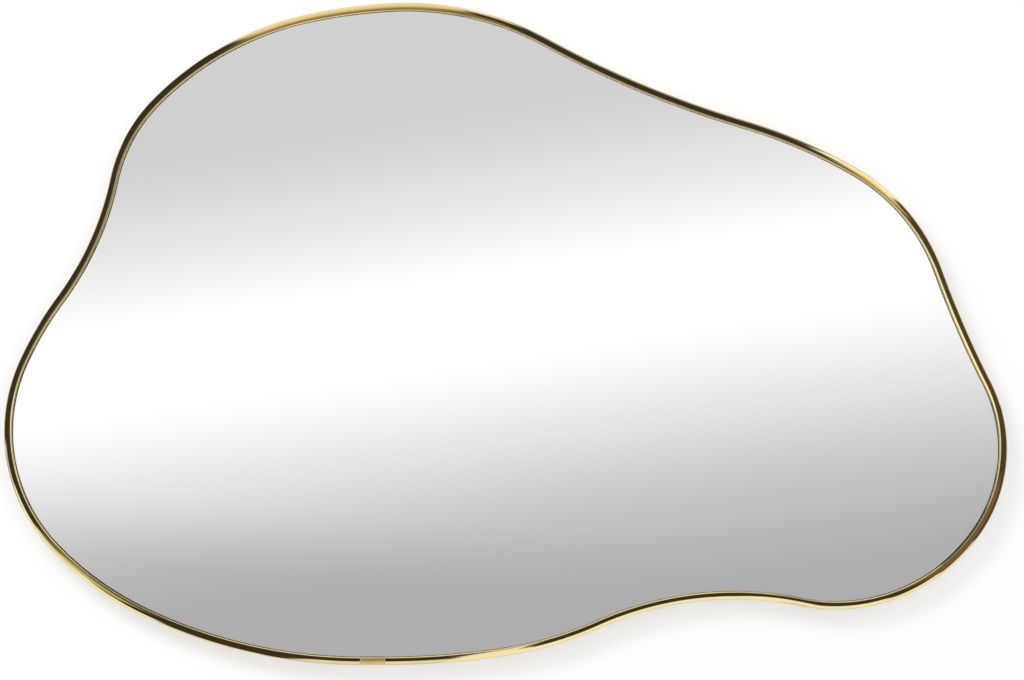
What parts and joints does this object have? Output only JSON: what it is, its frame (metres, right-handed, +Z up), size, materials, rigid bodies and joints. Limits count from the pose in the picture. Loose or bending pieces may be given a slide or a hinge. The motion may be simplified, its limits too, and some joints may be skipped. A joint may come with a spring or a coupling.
{
  "type": "irregular wall mirror",
  "caption": "Irregular wall mirror: a flat pane with bulging and hollow edges in a slim polished gold channel frame, with a backing board, swinging D-ring hangers and rubber bumpers.",
  "frame": {"origin": "the middle of the whole mirror's box: of its width and height, and of its depth from the frame's crest to the bumpers' faces", "axes": "+X to the right seen from the front, +Z up as it hangs in the picture, +Y towards the wall; the mirror looks towards -Y"},
  "size_m": [0.9092, 0.022, 0.6002],
  "materials": {
    "polished_gold": "polished, gold toned",
    "satin_gold": "brushed satin, gold toned",
    "mirror": "silvered float glass",
    "film": "safety film on the painted back",
    "foam": "closed-cell foam tape",
    "fibreboard": "medium density fibreboard",
    "soft_pad": "soft rubber",
    "spring_steel": "blued spring steel",
    "zinc_steel": "zinc plated",
    "screw_steel": "zinc plated",
    "ring_steel": "zinc plated, bright",
    "bumper_rubber": "soft, slightly see-through"
  },
  "bodies": {
    "mirror": {"frame_rail": "polished_gold", "joint_sleeve": "satin_gold", "splice_plate": "zinc_steel", "splice_screws": "screw_steel", "mirror_glass": "mirror", "safety_film": "film", "mounting_tape_strips": "foam", "backing_board": "fibreboard", "glass_edge_pads": "soft_pad", "spring_clips": "spring_steel", "hanger_strap_upper_left": "zinc_steel", "hanger_screws_upper_left": "screw_steel", "hanger_strap_upper_right": "zinc_steel", "hanger_screws_upper_right": "screw_steel", "hanger_strap_side_high": "zinc_steel", "hanger_screws_side_high": "screw_steel", "hanger_strap_side_low": "zinc_steel", "hanger_screws_side_low": "screw_steel", "wall_bumper_lower_left": "bumper_rubber", "wall_bumper_lower_right": "bumper_rubber", "wall_bumper_upper_left": "bumper_rubber", "wall_bumper_upper_right": "bumper_rubber"},
    "ring_upper_left": {"hanger_ring_upper_left": "ring_steel"},
    "ring_upper_right": {"hanger_ring_upper_right": "ring_steel"},
    "ring_side_high": {"hanger_ring_side_high": "ring_steel"},
    "ring_side_low": {"hanger_ring_side_low": "ring_steel"}
  },
  "joints": [
    {"name": "ring_upper_left_swing", "type": "hinge", "parent": "mirror", "child": "ring_upper_left", "pos_m": [-0.255, 0.00758, 0.14], "axis": [1, 0, 0], "range_deg": [0, 177]},
    {"name": "ring_upper_right_swing", "type": "hinge", "parent": "mirror", "child": "ring_upper_right", "pos_m": [0.255, 0.00758, 0.14], "axis": [1, 0, 0], "range_deg": [0, 177]},
    {"name": "ring_side_high_swing", "type": "hinge", "parent": "mirror", "child": "ring_side_high", "pos_m": [0.355, 0.00758, 0.054], "axis": [0, 0, -1], "range_deg": [0, 177]},
    {"name": "ring_side_low_swing", "type": "hinge", "parent": "mirror", "child": "ring_side_low", "pos_m": [0.355, 0.00758, -0.096], "axis": [0, 0, -1], "range_deg": [0, 177]}
  ]
}
